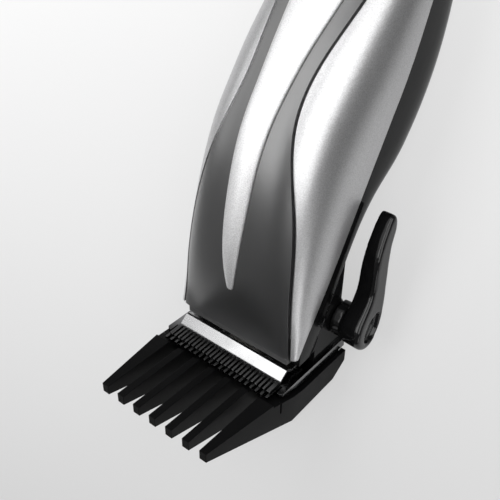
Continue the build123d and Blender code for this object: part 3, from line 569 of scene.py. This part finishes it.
class CLIPPER_OT_panel(bpy.types.Operator):
    """Finish the face panel, and round and finish the nose lip"""
    bl_idname = "clipper.panel"
    bl_label = "Face panel and lip"

    def execute(self, context):
        edges = context.scene.clipper_edges
        plastic = panel_plastic(context.scene.clipper_finishes, edges)
        dress(plastic, "face_panel")
        stand_for(rounded("nose_lip", "nose_lip_bar", edges.steel), "nose_lip", plastic)
        return {"FINISHED"}


class CLIPPER_OT_blades(bpy.types.Operator):
    """Round and finish the fixed blade and the moving cutter"""
    bl_idname = "clipper.blades"
    bl_label = "Blade set"

    def execute(self, context):
        looks = context.scene.clipper_finishes
        edges = context.scene.clipper_edges
        plate = rounded("fixed_blade", "fixed_blade_plate", edges.steel, segments=2)
        stand_for(plate, "fixed_blade", blade_steel(looks, edges))
        sheet = rounded("moving_cutter", "moving_cutter_sheet", edges.steel, segments=2)
        stand_for(sheet, "moving_cutter", cutter_steel(looks, edges))
        return {"FINISHED"}


class CLIPPER_OT_comb(bpy.types.Operator):
    """Round and finish the guide comb"""
    bl_idname = "clipper.comb"
    bl_label = "Guide comb"

    def execute(self, context):
        edges = context.scene.clipper_edges
        comb = rounded("guide_comb", "guide_comb_moulding", edges.comb)
        stand_for(comb, "guide_comb", comb_plastic(context.scene.clipper_finishes, edges))
        return {"FINISHED"}


class CLIPPER_OT_lever(bpy.types.Operator):
    """Lean and soften the taper lever's grip and finish it"""
    bl_idname = "clipper.lever"
    bl_label = "Taper lever"

    def execute(self, context):
        edges = context.scene.clipper_edges
        lever = copy_of("taper_lever", "taper_lever_moulding")
        modify(lever, "REMESH", mode="VOXEL", voxel_size=edges.lever_grid)
        self.lean(lever, edges)
        self.soften(lever, edges)
        bpy.ops.object.shade_smooth()
        stand_for(lever, "taper_lever", lever_plastic(context.scene.clipper_finishes, edges))
        return {"FINISHED"}

    def lean(self, lever, edges):
        """Lets the grip's upper face fall towards the body."""
        def inner_edge(point):
            return abs(point.co.x - edges.lever_inner) < edges.lever_grid and point.normal.z > UPPER_SIDE

        self.pick(lever, edges.lever_hub, inner_edge)
        bpy.ops.object.mode_set(mode="EDIT")
        bpy.ops.transform.translate(value=(0.0, 0.0, -edges.lever_lean), use_proportional_edit=True,
                                    proportional_edit_falloff="LINEAR", proportional_size=edges.lever_band)
        bpy.ops.object.mode_set(mode="OBJECT")

    def soften(self, lever, edges):
        """Rounds the grip off, and leaves the pivot's bore as it is."""
        def grip(point):
            return point.co.x > edges.lever_inner - edges.lever_grid

        self.pick(lever, edges.lever_bore, grip)
        bpy.ops.object.mode_set(mode="EDIT")
        bpy.ops.mesh.vertices_smooth(factor=PASS_STRENGTH, repeat=edges.lever_passes)
        bpy.ops.object.mode_set(mode="OBJECT")

    @staticmethod
    def pick(lever, clear, wanted):
        """Selects the wanted points that lie clear of the pivot."""
        low, high = (Vector(corner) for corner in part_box("lever_screw"))
        pivot = (low + high) / 2
        bpy.context.tool_settings.mesh_select_mode = (True, False, False)
        for part in (*lever.data.polygons, *lever.data.edges):
            part.select = False
        for point in lever.data.vertices:
            away = (point.co - pivot).yz.length
            point.select = away > clear and wanted(point)


class CLIPPER_OT_controls(bpy.types.Operator):
    """Finish the switch, and round and finish the cord's inlet bush"""
    bl_idname = "clipper.controls"
    bl_label = "Switch and inlet"

    def execute(self, context):
        edges = context.scene.clipper_edges
        plastic = bpy.data.materials["comb_plastic"]
        dress(plastic, "switch_slider")
        stand_for(rounded("inlet_bush", "inlet_bush_ring", edges.small), "inlet_bush", plastic)
        dress(inner_plastic(context.scene.clipper_finishes, edges), "switch_body")
        return {"FINISHED"}


class CLIPPER_OT_fasteners(bpy.types.Operator):
    """Round and finish the screws"""
    bl_idname = "clipper.fasteners"
    bl_label = "Screws"

    def execute(self, context):
        edges = context.scene.clipper_edges
        plated = screw_steel(context.scene.clipper_finishes, edges)
        for node in ("blade_screws", "housing_screws", "stator_screws", "power_screw"):
            stand_for(rounded(node, node + "_plated", edges.small), node, plated)
        black = rounded("lever_screw", "lever_screw_black", edges.small)
        stand_for(black, "lever_screw", bpy.data.materials["inner_plastic"])
        return {"FINISHED"}


class CLIPPER_OT_motor(bpy.types.Operator):
    """Finish the motor and the drive"""
    bl_idname = "clipper.motor"
    bl_label = "Motor"

    def execute(self, context):
        looks = context.scene.clipper_finishes
        edges = context.scene.clipper_edges
        dress(core_steel(looks, edges), "armature_arm", "armature_core", "stator_core")
        dress(bpy.data.materials["screw_steel"], "pivot_pin", "pivot_clip")
        dress(bpy.data.materials["inner_plastic"], "coil_bobbin")
        dress(copper_wire(looks), "coil_winding")
        dress(rubber(looks, edges), "rubber_buffers")
        dress(nylon(looks, edges), "drive_finger", "cutter_yoke")
        return {"FINISHED"}


class CLIPPER_OT_taper(bpy.types.Operator):
    """Finish the slide, the spring and the shaft that the lever works"""
    bl_idname = "clipper.taper"
    bl_label = "Taper mechanism"

    def execute(self, context):
        dress(bpy.data.materials["inner_plastic"], "taper_slide")
        dress(bpy.data.materials["blade_steel"], "tension_spring")
        dress(bpy.data.materials["screw_steel"], "lever_shaft")
        return {"FINISHED"}


class CLIPPER_OT_stage(bpy.types.Operator):
    """Set up the floor, the lights, the sky and the camera"""
    bl_idname = "clipper.stage"
    bl_label = "Stage"

    def execute(self, context):
        stage = context.scene.clipper_stage
        context.scene.view_settings.view_transform = "Standard"
        self.lay_floor(stage)
        self.paint_sky(context, stage)
        for box in SOFTBOXES:
            self.hang_softbox(context, box, getattr(stage, f"{box.name}_power"))
        self.place_camera(context, stage)
        return {"FINISHED"}

    @staticmethod
    def lay_floor(stage):
        """A round paper floor that shows as evenly lit and keeps the clipper's shadow."""
        bpy.ops.object.select_all(action="DESELECT")
        bpy.ops.mesh.primitive_circle_add(vertices=FLOOR_SIDES, radius=stage.floor_radius, fill_type="NGON")
        floor = bpy.context.active_object
        floor.name = "floor"
        finish = Finish(bpy.data.materials.new("floor_paper"))
        spot = finish.spot()
        # Painted shade: past a line along its heading the floor turns dark for every ray but the camera's, so
        # that the clipper mirrors a shaded floor
        far = finish.ramp(finish.along(spot, FAR_SHADE_HEADING), *FAR_SHADE_SPAN)
        mottle = finish.noise(MOTTLE_SIZE, detail=3.0) * MOTTLE_SHARE
        tone = finish.blend((1.0 - finish.seen()) * far + mottle, stage.floor, stage.floor_far)
        # Painted shade: the floor's even glow dims towards the dusk value along the dusk heading
        dusk = finish.ramp(finish.along(spot, DUSK_HEADING), *DUSK_SPAN)
        glow = finish.blend(dusk, (stage.floor_glow,) * 3, (stage.floor_dusk,) * 3)
        paper = finish.node("ShaderNodeBsdfPrincipled",
                            inputs={"Base Color": tone, "Roughness": FLOOR_ROUGHNESS,
                                    "Specular IOR Level": FLOOR_SPECULAR})
        even = finish.node("ShaderNodeEmission", inputs={"Color": glow})
        lift = finish.shown(stage) * stage.floor_lift
        mixed = finish.node("ShaderNodeMixShader", inputs={0: lift, 1: paper, 2: even})
        finish.node("ShaderNodeOutputMaterial", inputs={"Surface": mixed})
        floor.data.materials.append(finish.block)

    @staticmethod
    def paint_sky(context, stage):
        """A sky that is brighter on the lit side, with an even backdrop for the camera."""
        world = bpy.data.worlds.new("studio_sky")
        context.scene.world = world
        sky = Finish(world)
        heading = sky.node("ShaderNodeTexCoord", output="Generated")
        light = sky.ramp(sky.along(heading, SKY_HEADING), 0.0, 1.0, stage.horizon, stage.sky)
        tone = sky.blend(sky.shown(stage), light, (stage.backdrop,) * 3)
        glow = sky.node("ShaderNodeBackground", inputs={"Color": tone})
        sky.node("ShaderNodeOutputWorld", inputs={"Surface": glow})

    @staticmethod
    def hang_softbox(context, box, watts):
        """A flat lamp that faces its target."""
        name = f"{box.name}_softbox"
        lamp = bpy.data.lights.new(name, "AREA")
        lamp.shape = "RECTANGLE"
        lamp.size, lamp.size_y = box.size
        lamp.energy = watts
        softbox = bpy.data.objects.new(name, lamp)
        context.scene.collection.objects.link(softbox)
        softbox.location = box.place
        aim = Vector(box.target) - Vector(box.place)
        softbox.rotation_euler = aim.to_track_quat("-Z", "Y").to_euler()

    @staticmethod
    def place_camera(context, stage):
        """The camera, close over the comb and the front."""
        camera = bpy.data.objects.new("camera", bpy.data.cameras.new("camera"))
        context.scene.collection.objects.link(camera)
        camera.location = stage.camera_place
        camera.rotation_euler = stage.camera_turn
        camera.data.lens = stage.lens
        camera.data.clip_start = CLIP_START
        context.scene.camera = camera


class CLIPPER_PT_panel(bpy.types.Panel):
    """Lists the steps that dress the clipper, and their sizes and colours"""
    bl_label = "Hair clipper"
    bl_idname = "CLIPPER_PT_panel"
    bl_space_type = "VIEW_3D"
    bl_region_type = "UI"
    bl_category = "Clipper"

    def draw(self, context):
        for step in STEPS:
            self.layout.operator(step.bl_idname)
        for name, group in GROUPS.items():
            box = self.layout.box()
            for entry in group.__annotations__:
                box.prop(getattr(context.scene, name), entry)


STEPS = (CLIPPER_OT_shells, CLIPPER_OT_panel, CLIPPER_OT_blades, CLIPPER_OT_comb, CLIPPER_OT_lever,
         CLIPPER_OT_controls, CLIPPER_OT_fasteners, CLIPPER_OT_motor, CLIPPER_OT_taper, CLIPPER_OT_stage)
GROUPS = {"clipper_finishes": ClipperFinishes, "clipper_edges": ClipperEdges, "clipper_stage": ClipperStage}


def register():
    for kind in (*GROUPS.values(), *STEPS, CLIPPER_PT_panel):
        bpy.utils.register_class(kind)
    for name, group in GROUPS.items():
        setattr(bpy.types.Scene, name, PointerProperty(type=group))


def unregister():
    for name in GROUPS:
        delattr(bpy.types.Scene, name)
    for kind in (CLIPPER_PT_panel, *reversed(STEPS), *GROUPS.values()):
        bpy.utils.unregister_class(kind)


def main():
    register()
    bpy.ops.clipper.shells()
    bpy.ops.clipper.panel()
    bpy.ops.clipper.blades()
    bpy.ops.clipper.comb()
    bpy.ops.clipper.lever()
    bpy.ops.clipper.controls()
    bpy.ops.clipper.fasteners()
    bpy.ops.clipper.motor()
    bpy.ops.clipper.taper()
    bpy.ops.clipper.stage()


if __name__ == "__main__":
    main()
